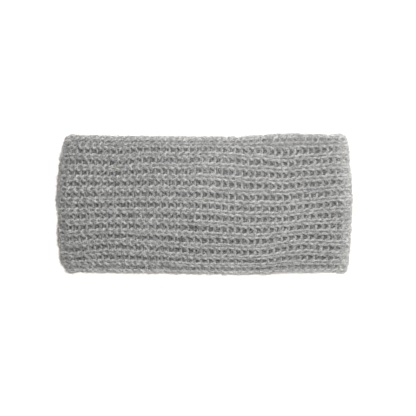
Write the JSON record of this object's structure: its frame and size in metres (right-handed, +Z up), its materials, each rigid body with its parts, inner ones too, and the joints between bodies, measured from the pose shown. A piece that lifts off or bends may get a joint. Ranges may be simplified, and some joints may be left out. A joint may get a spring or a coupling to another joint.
{
  "type": "ear warmer headband",
  "caption": "Wide ribbed knit ear warmer headband, one thick band lying flat as a closed loop that is open from rim to rim.",
  "frame": {"origin": "middle of the underside, on the surface that the band lies on", "axes": "+X from the left fold to the right fold, +Y from the lower rim to the upper rim, +Z up through the two layers"},
  "size_m": [0.229, 0.1086, 0.019],
  "materials": {
    "wool_knit": "soft heather grey wool yarn with a fine halo of fibres"
  },
  "bodies": {
    "root": {"knit_band": "wool_knit"}
  },
  "joints": []
}
